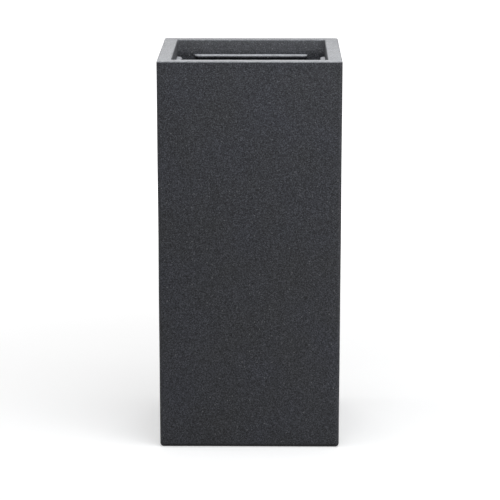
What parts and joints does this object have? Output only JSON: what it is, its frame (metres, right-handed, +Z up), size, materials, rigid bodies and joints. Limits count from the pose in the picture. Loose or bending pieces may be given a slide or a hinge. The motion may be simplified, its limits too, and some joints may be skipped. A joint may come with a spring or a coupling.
{
  "type": "floor planter",
  "caption": "Tall square double-walled plastic planter with a flat rim, inner ledges, a lift-out shelf and rubber drain plugs in its base.",
  "frame": {"origin": "centre of the base on the ground", "axes": "+Z up towards the rim, -Y towards the front that the picture shows, +X to its right"},
  "size_m": [0.33, 0.33, 0.711],
  "materials": {
    "stone_speckle_plastic": "charcoal with a fine pale and dark stone speckle, matt",
    "shelf_plastic": "plain black, matt",
    "cap_plastic": "plain black, satin",
    "plug_rubber": "black, matt"
  },
  "bodies": {
    "planter": {"planter_body": "stone_speckle_plastic", "vent_plug": "cap_plastic"},
    "shelf": {"insert_shelf": "shelf_plastic"},
    "plug_front_left": {"drain_plug_front_left": "plug_rubber"},
    "plug_front_right": {"drain_plug_front_right": "plug_rubber"},
    "plug_back_left": {"drain_plug_back_left": "plug_rubber"},
    "plug_back_right": {"drain_plug_back_right": "plug_rubber"}
  },
  "joints": [
    {"name": "shelf_lift", "type": "slide", "parent": "planter", "child": "shelf", "axis": [0, 0, 1], "range_m": [0, 0.36]},
    {"name": "plug_front_left_pull", "type": "slide", "parent": "planter", "child": "plug_front_left", "axis": [0, 0, -1], "range_m": [0, 0.04]},
    {"name": "plug_front_right_pull", "type": "slide", "parent": "planter", "child": "plug_front_right", "axis": [0, 0, -1], "range_m": [0, 0.04]},
    {"name": "plug_back_left_pull", "type": "slide", "parent": "planter", "child": "plug_back_left", "axis": [0, 0, -1], "range_m": [0, 0.04]},
    {"name": "plug_back_right_pull", "type": "slide", "parent": "planter", "child": "plug_back_right", "axis": [0, 0, -1], "range_m": [0, 0.04]}
  ]
}
